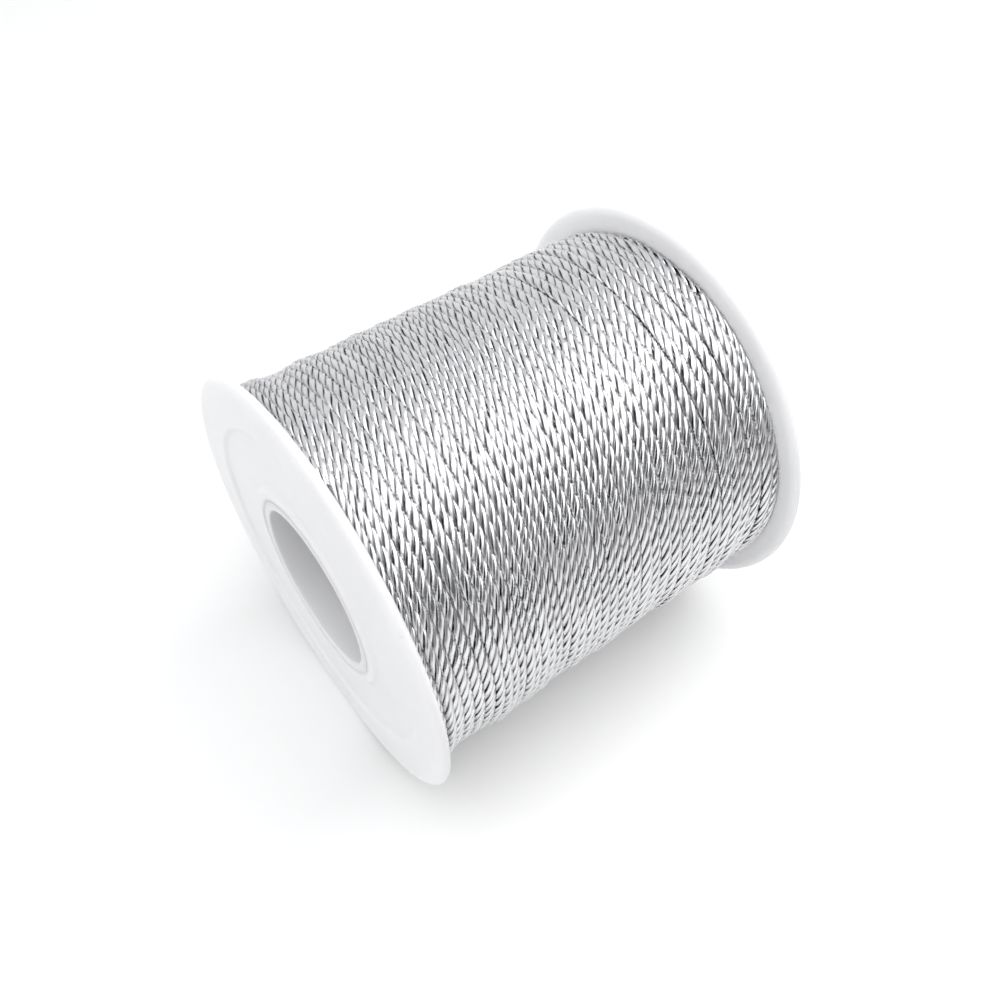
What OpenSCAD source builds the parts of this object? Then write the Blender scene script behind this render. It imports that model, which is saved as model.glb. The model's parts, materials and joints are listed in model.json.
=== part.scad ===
// A small flanged spool lying on its side, full of twisted metallic cord.
// The origin is on the surface that the flanges rest on, under the middle of the spool.
// The spool's axis runs along X, and +Z is up.

/* [Spool] */
// Outside diameter of both flanges
flange_d = 50; // [48:0.5:64]
// Length over both flanges
spool_len = 49.4; // [30:0.1:80]
// Diameter of the bore that a spindle goes through
bore_d = 19; // [10:0.5:19]

/* [Core tube] */
// Wall of the tube between the flanges
barrel_wall = 2.5; // [1.8:0.1:3]
// Wall of the spigots that the flanges are pressed on
spigot_wall = 1.25; // [0.8:0.05:1.4]
// Rounding of the bore's two mouths
mouth_round = 0.3; // [0.1:0.05:0.5]

/* [Flanges] */
// Thickness at the rim and at the hub ring
flange_t = 1.3; // [1.1:0.05:2]
// How far in from the edge the rounding of the rim starts
rim_depth = 1.15; // [0.5:0.05:1.5]
// Width of the flat band inside the rounded rim
band_w = 4.3; // [2:0.1:6]
// Width of the hub ring round each spigot
hub_w = 1; // [0.6:0.1:2]
// Depth of the shallow dish between the band and the hub ring
dish_depth = 0.35; // [0.1:0.05:0.5]
// Radial run of the dish's sloping walls
dish_slope = 0.8; // [0.3:0.1:1.2]

/* [Cord] */
// Outside diameter of the wound cord
winding_d = 45.4; // [34:0.1:46]
// Rounding of the winding's two outer edges
winding_round = 0.8; // [0.3:0.1:1.5]

/* [Hidden] */
flange_r = flange_d / 2;
bore_r = bore_d / 2;
barrel_r = bore_r + barrel_wall;
spigot_r = bore_r + spigot_wall;
hub_r = spigot_r + hub_w;
band_outer_r = flange_r - rim_depth;
band_inner_r = band_outer_r - band_w;
winding_r = winding_d / 2;
barrel_len = spool_len - 2 * flange_t;
rim_steps = 12;
round_steps = 6;
$fn = 96;

// Points of an arc from angle a0 to a1 about c, with radii rx and ry
function arc(c, rx, ry, a0, a1, steps) = [
    for (i = [0 : steps])
        let (a = a0 + (a1 - a0) * i / steps)
        [c[0] + rx * cos(a), c[1] + ry * sin(a)]
];

// The same points on the other side of the spool's middle, in the opposite order
function flipped(points) = [
    for (i = [len(points) - 1 : -1 : 0])
        [points[i][0], -points[i][1]]
];

// Turns a profile of radius and distance along the axis into a solid about the spool's axis
module about_axis() {
    translate([0, 0, flange_r])
        rotate([0, 90, 0])
            rotate_extrude() children();
}

// One flange: hub ring, shallow dish, flat band and a rounded rim. Its outer face is at 0.
module flange_profile() {
    face = [
        [spigot_r, 0],
        [hub_r, 0],
        [hub_r + dish_slope, dish_depth],
        [band_inner_r - dish_slope, dish_depth],
        [band_inner_r, 0]
    ];
    rim = arc([band_outer_r, flange_t / 2], rim_depth, flange_t / 2, -90, 90, rim_steps);
    polygon(concat(face, rim, [[spigot_r, flange_t]]));
}

module left_flange() {
    color("whitesmoke")
        translate([-spool_len / 2, 0, 0])
            about_axis() flange_profile();
}

module right_flange() {
    color("whitesmoke")
        mirror([1, 0, 0])
            translate([-spool_len / 2, 0, 0])
                about_axis() flange_profile();
}

// The tube's wall in section, with rounded mouths and a shoulder behind each spigot
module tube_profile() {
    end = spool_len / 2;
    shoulder = barrel_len / 2;
    edge = [bore_r + mouth_round, end - mouth_round];
    top_mouth = arc(edge, mouth_round, mouth_round, 90, 180, round_steps);
    top = concat([[barrel_r, shoulder], [spigot_r, shoulder], [spigot_r, end]], top_mouth);
    polygon(concat(top, flipped(top)));
}

// The tube that the cord is wound on, with a spigot at each end for a flange
module core_tube() {
    color("gainsboro")
        about_axis() tube_profile();
}

// The outer shape of all the layers of cord together
module cord_winding() {
    end = barrel_len / 2;
    edge = [winding_r - winding_round, end - winding_round];
    top = concat(arc(edge, winding_round, winding_round, 0, 90, round_steps), [[barrel_r, end]]);
    color("silver")
        about_axis()
            polygon(concat(top, flipped(top)));
}

left_flange();
right_flange();
core_tube();
cord_winding();
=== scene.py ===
"""Looks of a small plastic spool that lies on its side, full of twisted silver cord.

Everything is in metres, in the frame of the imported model: the spool's axis runs along X and the
flanges stand on z = 0. An angle about the axis is measured from straight up, towards -Y.
"""

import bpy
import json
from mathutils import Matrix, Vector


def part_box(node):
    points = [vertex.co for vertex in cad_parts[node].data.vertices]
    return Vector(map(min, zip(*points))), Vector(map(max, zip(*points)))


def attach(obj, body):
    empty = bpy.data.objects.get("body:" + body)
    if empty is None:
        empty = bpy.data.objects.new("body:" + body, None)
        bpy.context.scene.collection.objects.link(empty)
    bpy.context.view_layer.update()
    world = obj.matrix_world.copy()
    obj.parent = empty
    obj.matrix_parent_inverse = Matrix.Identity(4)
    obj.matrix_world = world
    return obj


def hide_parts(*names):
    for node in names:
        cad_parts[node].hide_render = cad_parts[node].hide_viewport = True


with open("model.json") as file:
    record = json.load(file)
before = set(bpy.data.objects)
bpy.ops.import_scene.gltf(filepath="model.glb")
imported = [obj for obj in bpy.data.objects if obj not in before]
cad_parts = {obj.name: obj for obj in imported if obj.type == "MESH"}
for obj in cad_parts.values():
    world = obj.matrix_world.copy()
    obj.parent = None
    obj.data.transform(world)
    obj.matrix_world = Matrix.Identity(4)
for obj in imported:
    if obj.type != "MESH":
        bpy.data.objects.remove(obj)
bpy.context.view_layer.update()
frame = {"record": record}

import json
import math

import bpy
import numpy as np
from mathutils import Matrix, Vector

MM = 0.001
BODY = "root"

# ---- Places, from the frame ----------------------------------------------------------------
FLANGE_LO, FLANGE_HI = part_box("left_flange")
WOUND_LO, WOUND_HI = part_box("cord_winding")
TUBE_LO, TUBE_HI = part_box("core_tube")
FLANGE_R = (FLANGE_HI.z - FLANGE_LO.z) / 2
FLANGE_T = FLANGE_HI.x - FLANGE_LO.x
AXIS_Z = (FLANGE_HI.z + FLANGE_LO.z) / 2
WOUND_R = (WOUND_HI.z - WOUND_LO.z) / 2
WOUND_HALF = WOUND_HI.x
BARREL_R = (TUBE_HI.z - TUBE_LO.z) / 2
SPOOL_HALF = TUBE_HI.x
CENTRE = Vector((0, 0, AXIS_Z))
BORE_R = next(m["dims"]["r_mm"] * MM for m in frame["record"]["mounts"] if m["kind"] == "bore")


# ---- Camera ---------------------------------------------------------------------------------
VIEW_AZIMUTH = math.radians(-36.663)
VIEW_ELEVATION = math.radians(51.259)
VIEW_DISTANCE = 4.69246 * FLANGE_R
VIEW_RIGHT = 0.02226 * FLANGE_R
VIEW_UP = -0.07358 * FLANGE_R
LENS = 35.656
SENSOR = 36.0


def make_camera():
    """The camera at the photograph's viewing angle, upright, with no shift and no depth of field."""
    a, e = VIEW_AZIMUTH, VIEW_ELEVATION
    back = Vector((math.sin(a) * math.cos(e), -math.cos(a) * math.cos(e), math.sin(e)))
    right = Vector((math.cos(a), math.sin(a), 0))
    up = back.cross(right)
    data = bpy.data.cameras.new("camera")
    data.lens = LENS
    data.sensor_width = SENSOR
    data.clip_start = MM
    data.clip_end = 20
    camera = bpy.data.objects.new("camera", data)
    place = CENTRE + back * VIEW_DISTANCE + right * VIEW_RIGHT + up * VIEW_UP
    turn = Matrix((right, up, back)).transposed()
    camera.matrix_world = Matrix.Translation(place) @ turn.to_4x4()
    bpy.context.scene.collection.objects.link(camera)
    bpy.context.scene.camera = camera


make_camera()


# ---- Meshes ---------------------------------------------------------------------------------
def unit(v):
    """v, a row of vectors, with each one made one long."""
    return v / np.linalg.norm(v, axis=-1, keepdims=True)


def across(v, axis):
    """v without its part along the unit vector axis, made a unit vector."""
    return unit(v - (v * axis).sum(-1, keepdims=True) * axis)


def smooth(t):
    """A soft step: 0 up to t = 0 and 1 from t = 1."""
    t = np.clip(t, 0, 1)
    return t * t * (3 - 2 * t)


def mesh_object(name, points, faces, uvs=None):
    """A smooth-shaded object from points (n, 3) and faces, a list of index arrays of one width each."""
    mesh = bpy.data.meshes.new(name)
    loops = np.concatenate([f.ravel() for f in faces]).astype(np.int32)
    sizes = np.concatenate([np.full(len(f), f.shape[1]) for f in faces]).astype(np.int32)
    starts = np.concatenate([[0], np.cumsum(sizes)[:-1]]).astype(np.int32)
    mesh.vertices.add(len(points))
    mesh.vertices.foreach_set("co", points.astype(np.float32).ravel())
    mesh.loops.add(len(loops))
    mesh.loops.foreach_set("vertex_index", loops)
    mesh.polygons.add(len(sizes))
    mesh.polygons.foreach_set("loop_start", starts)
    mesh.polygons.foreach_set("use_smooth", np.ones(len(sizes), bool))
    if uvs is not None:
        layer = mesh.uv_layers.new(name="lay")
        corners = np.concatenate([u.reshape(-1, 2) for u in uvs])
        layer.data.foreach_set("uv", corners.astype(np.float32).ravel())
    mesh.update(calc_edges=True)
    mesh.validate()
    obj = bpy.data.objects.new(name, mesh)
    bpy.context.scene.collection.objects.link(obj)
    return obj


def round_rings(middles, outward, sideways, sides):
    """Rings of that many points: an ellipse about each middle, with its half axes as vectors."""
    turn = math.pi + 2 * math.pi * np.arange(sides) / sides
    return (middles[:, None] + np.cos(turn)[None, :, None] * outward[:, None]
            + np.sin(turn)[None, :, None] * sideways[:, None])


def tube(name, strands):
    """One object of tubes. A strand is its rings (ring, side, 3), in order round and along, and
    how many turns the cord has twisted by each ring. U goes round a tube, and V is those turns."""
    points, quads, quad_uvs, caps = [], [], [], []
    start = 0
    for rings, along in strands:
        n, sides = rings.shape[:2]
        points.append(rings.reshape(-1, 3))
        i = np.repeat(np.arange(n - 1), sides)
        j = np.tile(np.arange(sides), n - 1)
        k = (j + 1) % sides
        base = start + i * sides
        quads.append(np.stack([base + j, base + k, base + sides + k, base + sides + j], 1))
        width = np.linalg.norm(np.roll(rings[0], -1, axis=0) - rings[0], axis=1)
        width /= width[:-1].sum()
        u1 = np.cumsum(width)[j]
        u0 = u1 - width[j]
        lap = UV_PERIOD * np.floor(along[i] / UV_PERIOD)
        v0, v1 = along[i] - lap, along[i + 1] - lap
        quad_uvs.append(np.stack([u0, v0, u1, v0, u1, v1, u0, v1], 1))
        caps.append((start + np.arange(sides)[::-1])[None])
        caps.append((start + (n - 1) * sides + np.arange(sides))[None])
        start += n * sides
    cap_uvs = [np.zeros((1, 2 * cap.shape[1])) for cap in caps]
    return mesh_object(name, np.concatenate(points), [np.concatenate(quads), *caps],
                       [np.concatenate(quad_uvs), *cap_uvs])


# ---- Cord -----------------------------------------------------------------------------------
CORD_D = 1.0 * MM
LAY = 6.5 * MM
PLIES = 4
SEED = 20

# How the turns lie in their layers. The outermost is laid looser at its start, by the right flange
LAYERS = 11
TURNS = 43
OUTER_TURNS = 39
LOOSER = 0.45
LOOSE_TO = 0.24
LOOSE_FADE = 0.16
STEP_SWEEP = 0.4
LUMP_H = 0.10 * MM

# How near and how wide turns are. A turn is drawn SNUG times as wide as the room it has. Turns
# nearer than SNUG diameters ride up on each other, and turns past WIDE_FROM sink a little
LEAST_GAP = 0.84 * CORD_D
SNUG = 1.04
SQUASH_LEAST = 0.96
SQUASH_MOST = 1.46
SQUASH_AREA = 0.93
SQUARENESS = 2.8
PUSH_ROUNDS = 14
WIDE_FROM = 1.2 * CORD_D
WIDE_MOST = 0.6 * CORD_D
WIDE_SINK = 0.15
RIDE_CHOICE = 0.9
EDGE_CALM = 2.5 * MM
EDGE_DIP = 0.16 * MM
EDGE_DIP_WIDTH = 1.6 * MM
ROUGH_SHARE = 0.6
FIELD_SHRINK = 1.7
# Widths, in rings, of the bells that soften a turn's place, its height and its room
PLACE_BELL = 5
HEIGHT_BELL = 6
ROOM_BELL = 10
# The plies are clipped just short of the flanges' flat inner faces
PRESS_X = WOUND_HALF - 0.02 * MM

# The outer end is lifted and pinched, and the last turns step across at its angle
TAIL_ANGLE = math.radians(16)
TAIL_SWEEP = math.radians(16)
TAIL_RISE = 0.7 * MM
TAIL_PINCH = 0.55
TAIL_TAPER = 1.8 * MM
CROSS_TURNS = 6
CROSS_SWEEP = 0.05

# A ply's section: angle from its middle in degrees, and distance from the cord's middle
PLY_SECTION = [(-45, 0.25 * MM), (-40, 0.44 * MM), (-21, 0.554 * MM),
               (21, 0.554 * MM), (40, 0.44 * MM), (45, 0.25 * MM)]
UNDER_SECTION = [(-45, 0.28 * MM), (-24, 0.54 * MM), (24, 0.54 * MM), (45, 0.28 * MM)]
WOBBLE = 0.25
SLIP = 0.07
SWELL = 0.035
BREATH_SHIFT = 1.0
BURIED_R = 0.49 * CORD_D
CORE_R = 0.17 * MM
CORE_SIDES = 5
# V starts again at 0 after that many turns of twist
UV_PERIOD = 16

# Rings for each turn. Where plies show, the core uses one in CORE_EVERY of them and the under
# plies one in UNDER_EVERY
INNER_RINGS = 24
OUTER_RINGS = 400
CORE_EVERY = 8
UNDER_EVERY = 2
JOIN_RINGS = 56

INNER_LAYER_R = BARREL_R + CORD_D / 2
OUTER_LAYER_R = WOUND_R - CORD_D / 2
LAYER_STEP = (OUTER_LAYER_R - INNER_LAYER_R) / (LAYERS - 1)
REACH = WOUND_HALF - CORD_D / 2
PITCH = 2 * REACH / (TURNS - 1)


class Waves:
    """Smooth noise over distance along the axis and angle about it, from a few random waves."""

    def __init__(self, rng, count, per_length, most_round):
        self.k = rng.normal(0, per_length, count)
        self.m = rng.integers(0, most_round + 1, count)
        self.phase = rng.uniform(0, 2 * math.pi, count)
        self.size = 1 / math.sqrt(count / 2)

    def at(self, x, angle):
        total = np.zeros(np.broadcast(x, angle).shape)
        for k, m, p in zip(self.k, self.m, self.phase):
            total += np.sin(k * x + m * angle + p)
        return total * self.size


class Drift:
    """Smooth noise along the cord, by the angle that it has turned through."""

    def __init__(self, rng, count, slowest, fastest):
        self.f = rng.uniform(slowest, fastest, count)
        self.phase = rng.uniform(0, 2 * math.pi, count)
        self.size = 1 / math.sqrt(count / 2)

    def at(self, angle):
        total = np.zeros(np.shape(angle))
        for f, p in zip(self.f, self.phase):
            total += np.sin(f * angle + p)
        return total * self.size


def soften(values, width):
    """A row of values, each averaged with its neighbours under a bell of that width."""
    reach = 3 * width
    bell = np.exp(-0.5 * (np.arange(-reach, reach + 1) / width) ** 2)
    padded = np.pad(values, reach, mode="edge")
    return np.convolve(padded, bell / bell.sum(), mode="valid")


def layer_grid(layer, rings):
    """Angle, distance along the axis and radius of a neat layer, each as (turn, ring).

    The outermost layer is looser at its start, and its last turns cross over in short steps.
    """
    outermost = layer == LAYERS - 1
    turns = OUTER_TURNS if outermost else TURNS
    turn = np.arange(turns)[:, None] + np.arange(rings)[None] / rings
    turns_left = turns if outermost else OUTER_TURNS + TURNS * (LAYERS - 1 - layer)
    angle = TAIL_ANGLE - 2 * math.pi * (turns_left - turn)
    share = turn / turns
    if outermost:
        spacing = 1 + LOOSER * (1 - smooth((share - LOOSE_TO) / LOOSE_FADE))
        share = (np.cumsum(spacing) / spacing.sum()).reshape(share.shape)
        whole = np.floor(turn)
        crossed = whole + smooth((turn - whole) / CROSS_SWEEP)
        late = smooth((turn - (turns - CROSS_TURNS - 1)) / CROSS_TURNS)
        shown = turn + late * (crossed - turn)
        share = np.interp(shown.ravel(), turn.ravel(), share.ravel()).reshape(share.shape)
    way = 1 if layer % 2 == 0 else -1
    x = np.clip(way * (REACH + PITCH / 2) * (1 - 2 * share), -REACH, REACH)
    radius = INNER_LAYER_R + layer * LAYER_STEP + np.zeros_like(x)
    if not outermost:
        radius += LAYER_STEP * smooth((turn - (turns - STEP_SWEEP)) / STEP_SWEEP)
    return angle, x, radius


def settle(angle, x, radius, rng, sway, wander, lift):
    """Moves the turns of a layer off their even places, as hand-guided winding leaves them.

    Returns their places, their radii and how much wider than the cord each point is pressed.
    """
    field = Waves(rng, count=60, per_length=0.20 / MM, most_round=4)
    loose = Drift(rng, count=80, slowest=0.6, fastest=15.0)
    side = Waves(rng, count=50, per_length=0.9 / MM, most_round=5)
    rough = Drift(rng, count=80, slowest=0.5, fastest=9.0)
    inside = smooth((REACH - np.abs(x)) / EDGE_CALM)
    x = x + inside * (sway * field.at(x, angle) + wander * loose.at(angle))
    way = np.sign(x[0, 0] - x[-1, -1])
    for _ in range(PUSH_ROUNDS):
        gap = way * (x[:-1] - x[1:])
        push = np.clip(LEAST_GAP - gap, 0, None) / 2
        x[:-1] += way * push
        x[1:] -= way * push
        x = np.clip(soften(x.ravel(), PLACE_BELL).reshape(x.shape), -REACH, REACH)
    gap = way * (x[:-1] - x[1:])
    over = np.clip(SNUG * CORD_D - gap, 0, None)
    chosen = smooth(0.5 + RIDE_CHOICE * side.at(x[:-1], angle[:-1]))
    rise = np.zeros_like(x)
    rise[:-1] += over * chosen
    rise[1:] += over * (1 - chosen)
    wide = np.clip(gap - WIDE_FROM, 0, WIDE_MOST)
    rise[:-1] -= WIDE_SINK * wide
    rise[1:] -= WIDE_SINK * wide
    even = field.at(x * FIELD_SHRINK, angle)
    rise += lift * (ROUGH_SHARE * rough.at(angle) + (1 - ROUGH_SHARE) * even)
    rise -= EDGE_DIP * np.exp(-(REACH - np.abs(x)) / EDGE_DIP_WIDTH)
    rise = soften(rise.ravel(), HEIGHT_BELL).reshape(x.shape)
    room = np.concatenate([gap[:1], (gap[:-1] + gap[1:]) / 2, gap[-1:]])
    room = soften(room.ravel(), ROOM_BELL)
    return x, radius + rise, np.clip(SNUG * room / CORD_D, SQUASH_LEAST, SQUASH_MOST)


def around(angle, x, radius):
    """Points (n, 3) at these angles about the spool's axis."""
    return np.stack([x, -radius * np.sin(angle), AXIS_Z + radius * np.cos(angle)], -1).reshape(-1, 3)


def cord_route():
    """The whole cord's middle line: the points of the buried layers, of the second layer from
    outside and of the outermost, and how wide the last two are pressed at each point."""
    rng = np.random.default_rng(SEED)
    inner = [around(*layer_grid(layer, INNER_RINGS)) for layer in range(LAYERS - 2)]
    angle, x, radius = layer_grid(LAYERS - 2, OUTER_RINGS)
    lumps = Waves(rng, count=50, per_length=0.8 / MM, most_round=3)
    x, radius, second_squash = settle(angle, x, radius, rng,
                                      sway=0.2 * MM, wander=0.12 * MM, lift=0.03 * MM)
    second = around(angle, x, radius + LUMP_H * lumps.at(x, angle))
    angle, x, radius = layer_grid(LAYERS - 1, OUTER_RINGS)
    x, radius, outer_squash = settle(angle, x, radius, rng,
                                     sway=0.27 * MM, wander=0.10 * MM, lift=0.07 * MM)
    radius = radius + LUMP_H * lumps.at(x, angle)
    rise = smooth(1 - (TAIL_ANGLE - angle) / TAIL_SWEEP)
    outer = around(angle, x, radius + TAIL_RISE * rise)
    # The end of the second layer is led smoothly to where the outermost one starts
    join = smooth(np.linspace(0, 1, JOIN_RINGS))
    second[-JOIN_RINGS:] += join[:, None] * (outer[0] - 2 * second[-1] + second[-2])
    second_squash[-JOIN_RINGS:] += join * (outer_squash[0] - second_squash[-1])
    return np.concatenate(inner), second, outer, second_squash, outer_squash


def frame_along(line):
    """Unit tangent, outward and sideways vectors at each point of a line round the axis."""
    ahead = unit(np.gradient(line, axis=0))
    out = line - np.array(CENTRE)
    out[:, 0] = 0
    out = across(out, ahead)
    return ahead, out, np.cross(ahead, out)


def lengths(line):
    """How far along a line each of its points lies."""
    steps = np.linalg.norm(np.diff(line, axis=0), axis=1)
    return np.concatenate([[0], np.cumsum(steps)])


def ply_strand(line, s, squash, girth, number, section):
    """One ply's rings round the cord's middle line, and how many turns it has twisted by each.

    It is right-handed, as a Z twist is. All plies wobble together and each one slips by itself.
    """
    _, out, sideways = frame_along(line)
    wobble = Drift(np.random.default_rng(SEED + 1), count=60, slowest=1, fastest=12)
    breath = Drift(np.random.default_rng(SEED + 2 + number), count=60, slowest=3, fastest=30)
    turned = s / OUTER_LAYER_R
    phase = 2 * math.pi * (s / LAY + number / PLIES) + WOBBLE * wobble.at(turned)
    phase += SLIP * breath.at(turned + BREATH_SHIFT)
    swell = girth * (1 + SWELL * breath.at(turned))
    angle = phase[:, None] + np.radians([a for a, _ in section])[None]
    reach = swell[:, None] * np.array([r for _, r in section])[None]
    pressed = np.abs(np.cos(angle)) ** SQUARENESS + np.abs(np.sin(angle)) ** SQUARENESS
    reach = reach * pressed ** (-1 / SQUARENESS)
    height = (SQUASH_AREA / squash)[:, None] * reach * np.cos(angle)
    width = squash[:, None] * reach * np.sin(angle)
    rings = line[:, None] + height[:, :, None] * out[:, None] + width[:, :, None] * sideways[:, None]
    rings[..., 0] = np.clip(rings[..., 0], -PRESS_X, PRESS_X)
    return rings, phase / (2 * math.pi)


def make_cord():
    """The cord: one tube of its whole length, slim inside the plies of the two layers that show."""
    inner, second, outer, second_squash, outer_squash = cord_route()
    line = np.concatenate([inner, second[::CORE_EVERY], outer[::CORE_EVERY], outer[-1:]])
    girth = np.full(len(line), CORE_R)
    girth[:len(inner)] = BURIED_R
    _, out, sideways = frame_along(line)
    s = lengths(line)
    rings = round_rings(line, girth[:, None] * out, girth[:, None] * sideways, CORE_SIDES)
    cord = tube("cord", [(rings, s / LAY)])
    s_shown = lengths(np.concatenate([second, outer]))
    s_second, s_outer = s_shown[:len(second) + 1], s_shown[len(second):]
    second = np.concatenate([second, outer[:1]])
    second_squash = np.concatenate([second_squash, outer_squash[:1]])
    whole = np.ones(len(second[::UNDER_EVERY]))
    pinched = 1 - TAIL_PINCH * smooth(1 - (s_outer[-1] - s_outer) / TAIL_TAPER)
    plies = []
    for number in range(PLIES):
        under = ply_strand(second[::UNDER_EVERY], s_second[::UNDER_EVERY],
                           second_squash[::UNDER_EVERY], whole, number, UNDER_SECTION)
        top = ply_strand(outer, s_outer, outer_squash, pinched, number, PLY_SECTION)
        plies.append(tube(f"cord_ply_{number + 1}", [top]))
        plies.append(tube(f"cord_ply_{number + 1}_under", [under]))
    return cord, plies, line, s[-1]


cord, plies, cord_line, cord_length = make_cord()
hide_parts("cord_winding")
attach(cord, BODY)
for ply in plies:
    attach(ply, BODY)


# ---- Flanges and core tube ------------------------------------------------------------------
SPIGOT_WALL = 1.25 * MM
HUB_W = 1.0 * MM
RIM_DEPTH = 1.15 * MM
BAND_W = 4.3 * MM
DISH_DEPTH = 0.35 * MM
DISH_SLOPE = 0.8 * MM
MOUTH_ROUND = 0.3 * MM
MOUTH_STEPS = 7
SHOULDER_EDGE = 0.3 * MM
# The band's outer edge stands up as a low lip, and the rest of the face lies a little in from it
FACE_IN = 0.05 * MM
LIP_H = 0.05 * MM
LIP_W = 0.22 * MM
HOLE_EASE = 0.05 * MM
# The warp: waves round the flange, which grow from the spigot to the rim. A phase is drawn from
# about a full turn
WARP = 0.10 * MM
WARP_WAVES = (2, 3, 5)
WARP_PHASE_TO = 6.3
LATHE_STEPS = 288
RIM_STEPS = 20
SPIGOT_R = BORE_R + SPIGOT_WALL
HUB_R = SPIGOT_R + HUB_W
BAND_OUT_R = FLANGE_R - RIM_DEPTH
BAND_IN_R = BAND_OUT_R - BAND_W


def face_depth(r):
    """How far in from the end of the spool the flange's outer face lies, at each radius."""
    down = smooth((r - HUB_R) / DISH_SLOPE)
    up = smooth((BAND_IN_R - r) / DISH_SLOPE)
    lip = LIP_H * np.exp(-((r - BAND_OUT_R + LIP_W) / LIP_W) ** 2)
    return DISH_DEPTH * np.minimum(down, up) + FACE_IN - lip


def flange_section():
    """Radius and depth round the flange's section, from the hub out, round the rim and back."""
    r = np.concatenate([np.linspace(SPIGOT_R + HOLE_EASE, HUB_R, 4)[:-1],
                        np.linspace(HUB_R, HUB_R + DISH_SLOPE, 8),
                        np.linspace(HUB_R + DISH_SLOPE, BAND_IN_R - DISH_SLOPE, 14)[1:-1],
                        np.linspace(BAND_IN_R - DISH_SLOPE, BAND_IN_R, 8),
                        np.linspace(BAND_IN_R, BAND_OUT_R, 26)[1:]])
    depth = face_depth(r)
    a = np.linspace(-math.pi / 2, math.pi / 2, RIM_STEPS)[1:]
    half = (FLANGE_T - depth[-1]) / 2
    rim_r = BAND_OUT_R + RIM_DEPTH * np.cos(a)
    rim_depth = depth[-1] + half + half * np.sin(a)
    back_r = np.linspace(BAND_OUT_R, SPIGOT_R, 22)[1:]
    inner_r = [SPIGOT_R, SPIGOT_R, SPIGOT_R + 0.4 * HOLE_EASE]
    inner_depth = [0.6 * FLANGE_T, 0.25 * FLANGE_T, 0.1 * FLANGE_T]
    return (np.concatenate([r, rim_r, back_r, inner_r]),
            np.concatenate([depth, rim_depth, np.full(len(back_r), FLANGE_T), inner_depth]))


def lathe(name, r, x, warp_seed=None):
    """A closed ring about the spool's axis from a closed section of radius and place along X."""
    angle = 2 * math.pi * np.arange(LATHE_STEPS) / LATHE_STEPS
    a, rr = angle[:, None], np.asarray(r)[None]
    xx = np.asarray(x)[None] + np.zeros_like(a)
    if warp_seed is not None:
        rng = np.random.default_rng(warp_seed)
        bend = sum(rng.normal(0, 1) / m * np.sin(m * a + rng.uniform(0, WARP_PHASE_TO))
                   for m in WARP_WAVES)
        xx = xx + WARP * bend * smooth((rr - SPIGOT_R) / (FLANGE_R - SPIGOT_R))
    n = len(r)
    points = np.stack([xx, -rr * np.sin(a), AXIS_Z + rr * np.cos(a)], -1).reshape(-1, 3)
    i = np.repeat(np.arange(LATHE_STEPS), n)
    j = np.tile(np.arange(n), LATHE_STEPS)
    i2, j2 = (i + 1) % LATHE_STEPS, (j + 1) % n
    quads = np.stack([i * n + j, i * n + j2, i2 * n + j2, i2 * n + j], 1)
    p = points[quads]
    volume = (p[:, 0] * np.cross(p[:, 1], p[:, 2])).sum() + (p[:, 0] * np.cross(p[:, 2], p[:, 3])).sum()
    if volume < 0:
        quads = quads[:, ::-1]
    return mesh_object(name, points, [quads])


def make_flange(name, side, warp_seed):
    """A flange at the left (side -1) or right (side 1) end."""
    r, depth = flange_section()
    flange = lathe(name, r, side * (SPOOL_HALF - depth), warp_seed)
    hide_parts(name.replace("_disc", ""))
    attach(flange, BODY)
    return flange


def make_tube():
    """The core tube: bore, two rounded mouths, and a shoulder behind each spigot."""
    a = np.linspace(0, math.pi / 2, MOUTH_STEPS)
    mouth_r = BORE_R + MOUTH_ROUND * (1 - np.sin(a))
    mouth_x = SPOOL_HALF - MOUTH_ROUND * (1 - np.cos(a))
    lip_r = SPIGOT_R - MOUTH_ROUND / 2 * (1 - np.sin(a))
    lip_x = SPOOL_HALF - MOUTH_ROUND / 2 * (1 - np.cos(a[::-1]))
    r = np.concatenate([mouth_r[::-1], lip_r])
    x = np.concatenate([mouth_x[::-1], lip_x])
    shoulder = SPOOL_HALF - FLANGE_T
    r = np.concatenate([r, [SPIGOT_R, SPIGOT_R, BARREL_R, BARREL_R]])
    x = np.concatenate([x, [shoulder + SHOULDER_EDGE, shoulder, shoulder,
                            shoulder - SHOULDER_EDGE]])
    inside = np.linspace(-1, 1, 9)[1:-1] * (SPOOL_HALF - MOUTH_ROUND)
    r = np.concatenate([r, r[::-1], np.full(len(inside), BORE_R)])
    x = np.concatenate([x, -x[::-1], inside])
    body = lathe("core_tube_body", r, x)
    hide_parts("core_tube")
    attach(body, BODY)
    return body


flanges = [make_flange("left_flange_disc", -1, 3), make_flange("right_flange_disc", 1, 8)]
core_tube = make_tube()


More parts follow.
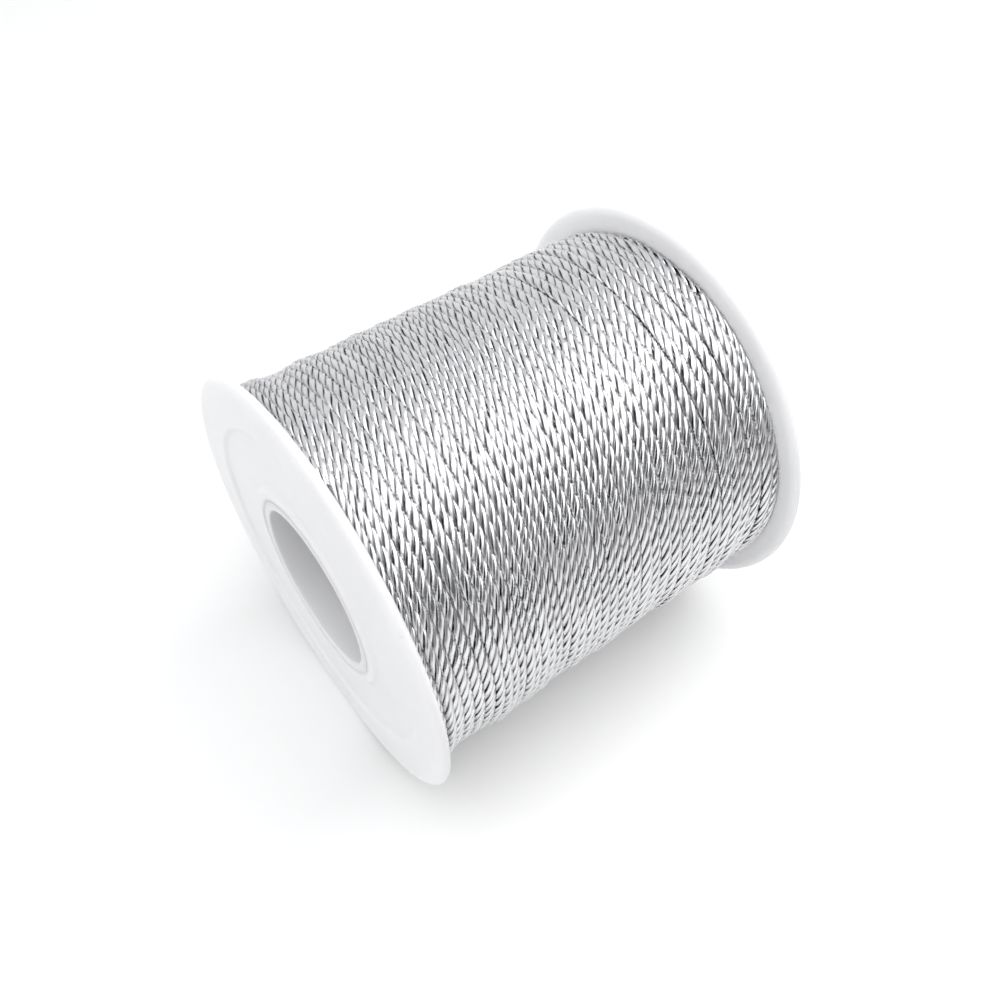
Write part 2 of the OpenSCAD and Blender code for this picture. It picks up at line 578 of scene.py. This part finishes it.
# ---- Materials ------------------------------------------------------------------------------
class Nodes:
    """A short hand for building a node tree."""

    def __init__(self, tree):
        self.tree = tree
        tree.nodes.clear()

    def add(self, kind, inputs=None, **settings):
        node = self.tree.nodes.new(kind)
        for key, value in settings.items():
            setattr(node, key, value)
        for key, value in (inputs or {}).items():
            if isinstance(value, bpy.types.NodeSocket):
                self.tree.links.new(value, node.inputs[key])
            else:
                node.inputs[key].default_value = value
        return node

    def math(self, operation, a, b=0.0):
        return self.add("ShaderNodeMath", {0: a, 1: b}, operation=operation).outputs[0]

    def ramp(self, value, stops):
        node = self.add("ShaderNodeValToRGB", {0: value})
        elements = node.color_ramp.elements
        while len(elements) < len(stops):
            elements.new(0.5)
        for element, (place, colour) in zip(elements, stops):
            element.position = place
            element.color = colour if len(colour) == 4 else (*colour, 1)
        return node.outputs[0]

    def blend_colours(self, a, b, kind="MULTIPLY", share=1.0):
        node = self.add("ShaderNodeMix", {"Factor": share}, data_type="RGBA", blend_type=kind)
        for socket, value in ((node.inputs[6], a), (node.inputs[7], b)):
            if isinstance(value, bpy.types.NodeSocket):
                self.tree.links.new(value, socket)
            else:
                socket.default_value = value
        return node.outputs[2]


def grey(v, tint=0.0):
    """A grey of that brightness, slightly blue by tint."""
    return (v * (1 - tint), v * (1 - tint * 0.6), v, 1)


def new_material(name):
    material = bpy.data.materials.new(name)
    material.use_nodes = True
    return material, Nodes(material.node_tree)


def finish_material(nodes, shader):
    out = nodes.add("ShaderNodeOutputMaterial")
    nodes.tree.links.new(shader.outputs[0], out.inputs["Surface"])


# Filaments: how they lean round a ply, and how many there are across and along it
FILAMENT_LEAN = 2.6
FILAMENTS_ACROSS = 24.0
FILAMENTS_ALONG = 2.0
# Painted shade darkens a ply's two edges, in the slit where it meets the next ply, at these shares of
# the way round it
SLIT_SHADE = (0.10, 0.10, 0.11)
SLIT_SHADE_IN = 0.07
SLIT_SHADE_OUT = 0.28
# The painted shade lies on the left of a turn only, the side the lighting leaves dark from the main
# view. It is painted on the left of a turn only, to match the photo's view. The sine of the place
# round the cord says which side that is
SHADE_LEFT_FROM = -0.75
SHADE_LEFT_TO = 0.35


def cord_material():
    """Metallic filaments laid along each ply, with painted shade in the slit where two plies meet, on
    the left of each turn.
    """
    material, n = new_material("metallic_cord")
    uv = n.add("ShaderNodeUVMap", uv_map="lay").outputs[0]
    parts = n.add("ShaderNodeSeparateXYZ", {0: uv})
    round_ply, twist = parts.outputs["X"], parts.outputs["Y"]
    place = n.add("ShaderNodeTexCoord").outputs["Object"]
    leaning = n.math("ADD", round_ply, n.math("MULTIPLY", twist, FILAMENT_LEAN))
    streak = n.add("ShaderNodeCombineXYZ", {"X": n.math("MULTIPLY", leaning, FILAMENTS_ACROSS),
                                            "Y": n.math("MULTIPLY", twist, FILAMENTS_ALONG)})
    filaments = n.add("ShaderNodeTexNoise", {"Vector": streak.outputs[0], "Scale": 1.0,
                                             "Detail": 2.0, "Roughness": 0.6},
                      noise_dimensions="2D").outputs[0]
    colour = n.ramp(filaments, [(0.30, (0.72, 0.72, 0.735)), (0.55, (0.82, 0.82, 0.83)),
                                (0.75, (0.92, 0.92, 0.925))])
    # Painted shade: the ply's edges darkened in the slits, blended in on the left of each turn only
    slit_shade = n.ramp(round_ply, [(SLIT_SHADE_IN, SLIT_SHADE), (SLIT_SHADE_OUT, (1.0,) * 3),
                               (1 - SLIT_SHADE_OUT, (1.0,) * 3), (1 - SLIT_SHADE_IN, SLIT_SHADE)])
    turned = n.math("ADD", n.math("MULTIPLY", twist, 2 * math.pi),
                    n.math("MULTIPLY", n.math("SUBTRACT", round_ply, 0.5), 2 * math.pi / PLIES))
    left_shade = n.add("ShaderNodeMapRange", {"Value": n.math("SINE", turned), "From Min": SHADE_LEFT_FROM,
                                        "From Max": SHADE_LEFT_TO}, interpolation_type="SMOOTHSTEP")
    shaded = n.blend_colours(colour, slit_shade, share=left_shade.outputs[0])
    patches = n.add("ShaderNodeTexNoise", {"Vector": place, "Scale": 260.0, "Detail": 2.0})
    rough = n.ramp(patches.outputs[0], [(0.35, (0.25,) * 3), (0.65, (0.32,) * 3)])
    bump = n.add("ShaderNodeBump", {"Height": filaments, "Strength": 0.2, "Distance": 0.02 * MM})
    shader = n.add("ShaderNodeBsdfPrincipled", {"Base Color": shaded, "Roughness": rough,
                                                "Metallic": 0.92, "Normal": bump.outputs[0]})
    finish_material(n, shader)
    return material


# Plastic: how dark its mottling is and how strongly its specks show
MOTTLE = 0.965
SPECK_SHARE = 0.25
FINE_HEIGHT = 0.06


def plastic_material(name, base, mottle_scale):
    """Milky polypropylene, slightly uneven, with a few specks."""
    material, n = new_material(name)
    place = n.add("ShaderNodeTexCoord").outputs["Object"]
    cloud = n.add("ShaderNodeTexNoise", {"Vector": place, "Scale": mottle_scale, "Detail": 4.0,
                                         "Roughness": 0.55}).outputs[0]
    fine = n.add("ShaderNodeTexNoise", {"Vector": place, "Scale": 900.0, "Detail": 3.0}).outputs[0]
    speck = n.add("ShaderNodeTexVoronoi", {"Vector": place, "Scale": 420.0})
    colour = n.ramp(cloud, [(0.3, tuple(c * MOTTLE for c in base)), (0.7, base)])
    dark = n.ramp(speck.outputs["Distance"], [(0.0, (0.55,) * 3), (0.05, (0.8,) * 3),
                                              (0.09, (1.0,) * 3)])
    tinted = n.blend_colours(colour, dark, share=SPECK_SHARE)
    rough = n.ramp(fine, [(0.3, (0.34,) * 3), (0.7, (0.44,) * 3)])
    height = n.math("ADD", cloud, n.math("MULTIPLY", fine, FINE_HEIGHT))
    bump = n.add("ShaderNodeBump", {"Height": height, "Strength": 0.25, "Distance": 0.3 * MM})
    shader = n.add("ShaderNodeBsdfPrincipled",
                   {"Base Color": tinted, "Roughness": rough, "IOR": 1.49,
                    "Subsurface Weight": 0.6, "Subsurface Radius": (1.0, 1.0, 1.0),
                    "Subsurface Scale": 0.9 * MM, "Normal": bump.outputs[0]})
    finish_material(n, shader)
    return material


def coat(pieces, material):
    """Gives pieces one material and no other."""
    for piece in pieces:
        piece.data.materials.clear()
        piece.data.materials.append(material)


coat([cord, *plies], cord_material())
coat(flanges, plastic_material("milky_flange", (0.825, 0.825, 0.835), mottle_scale=90.0))
coat([core_tube], plastic_material("milky_tube", (0.76, 0.76, 0.77), mottle_scale=140.0))


# ---- Floor and light ------------------------------------------------------------------------
FLOOR_HALF = 0.7
FLOOR_TONE = 0.80
FLOOR_GLOW = 0.09
SOFTBOX_HEIGHT = 0.45
SOFTBOX_FROM = math.radians(-16)
SOFTBOX_TO = math.radians(40)
SOFTBOX_X = 1.2
SOFTBOX_SHIFT = 0.25
SOFTBOX_LEVEL = 2.1
# Brightness of the studio at each angle about the spool's axis, in degrees
SKY = [(-180, 0.80), (-100, 0.80), (-88, 0.90), (-50, 0.78), (-32, 0.55), (-16, 0.70), (38, 0.75),
       (44, 0.30), (50, 0.05), (60, 0.01), (88, 0.01), (92, 0.80), (180, 0.80)]
SKY_BLUE = 0.06
SKY_BLUE_LOST = 0.05
# A bright patch of the studio off the left end, by how far a direction leans to the left
SIDE_FROM = 0.72
SIDE_TO = 0.92
SIDE_LEVEL = 1.08
SIDE_BLUE = 0.01
BACKDROP_TONE = 0.97


def make_floor():
    """A pale floor that glows faintly: painted light that lifts its shadows. It is wide enough for the
    main camera's view, and lower views show where it ends.
    """
    h = FLOOR_HALF
    corners = np.array([(-h, -h, 0), (h, -h, 0), (h, h, 0), (-h, h, 0)], float)
    floor = mesh_object("floor", corners, [np.array([[0, 1, 2, 3]])])
    material, n = new_material("floor_paper")
    paper = n.add("ShaderNodeBsdfDiffuse", {"Color": grey(FLOOR_TONE), "Roughness": 0.0})
    # Painted light: a faint even glow that lightens the floor's shadows
    glow = n.add("ShaderNodeEmission", {"Color": grey(1.0), "Strength": FLOOR_GLOW})
    shader = n.add("ShaderNodeAddShader", {0: paper.outputs[0], 1: glow.outputs[0]})
    finish_material(n, shader)
    coat([floor], material)


def make_softbox():
    """One large light overhead. Its two long edges stand at two angles about the spool's axis."""
    y0 = -SOFTBOX_HEIGHT * math.tan(SOFTBOX_TO)
    y1 = -SOFTBOX_HEIGHT * math.tan(SOFTBOX_FROM)
    data = bpy.data.lights.new("softbox", "AREA")
    data.shape = "RECTANGLE"
    data.size = SOFTBOX_X
    data.size_y = y1 - y0
    data.energy = SOFTBOX_LEVEL * math.pi * data.size * data.size_y
    light = bpy.data.objects.new("softbox", data)
    light.location = (SOFTBOX_SHIFT, (y0 + y1) / 2, AXIS_Z + SOFTBOX_HEIGHT)
    bpy.context.scene.collection.objects.link(light)


def make_world():
    """A studio round the spool. Its brightness depends on the angle about the X axis, and it has
    a bright patch at the left. The camera itself sees one even pale tone instead."""
    world = bpy.data.worlds.new("studio")
    bpy.context.scene.world = world
    world.use_nodes = True
    n = Nodes(world.node_tree)
    way = n.add("ShaderNodeSeparateXYZ", {0: n.add("ShaderNodeTexCoord").outputs["Generated"]})
    angle = n.math("ARCTAN2", n.math("MULTIPLY", way.outputs["Y"], -1.0), way.outputs["Z"])
    share = n.math("ADD", n.math("DIVIDE", angle, 2 * math.pi), 0.5)
    stops = [((a + 180) / 360, grey(v, SKY_BLUE - SKY_BLUE_LOST * v)) for a, v in SKY]
    side = n.add("ShaderNodeMapRange", {"Value": n.math("MULTIPLY", way.outputs["X"], -1.0),
                                        "From Min": SIDE_FROM, "From Max": SIDE_TO},
                 interpolation_type="SMOOTHSTEP")
    patch = grey(SIDE_LEVEL, SIDE_BLUE)
    level = n.blend_colours(n.ramp(share, stops), patch, "MIX", side.outputs[0])
    background = n.add("ShaderNodeBackground", {"Color": level, "Strength": 1.0})
    seen = n.add("ShaderNodeBackground", {"Color": grey(BACKDROP_TONE), "Strength": 1.0})
    path = n.add("ShaderNodeLightPath")
    mix = n.add("ShaderNodeMixShader", {0: path.outputs["Is Camera Ray"], 1: background.outputs[0],
                                        2: seen.outputs[0]})
    out = n.add("ShaderNodeOutputWorld")
    n.tree.links.new(mix.outputs[0], out.inputs["Surface"])


make_floor()
make_softbox()
make_world()
bpy.context.scene.view_settings.view_transform = "Standard"
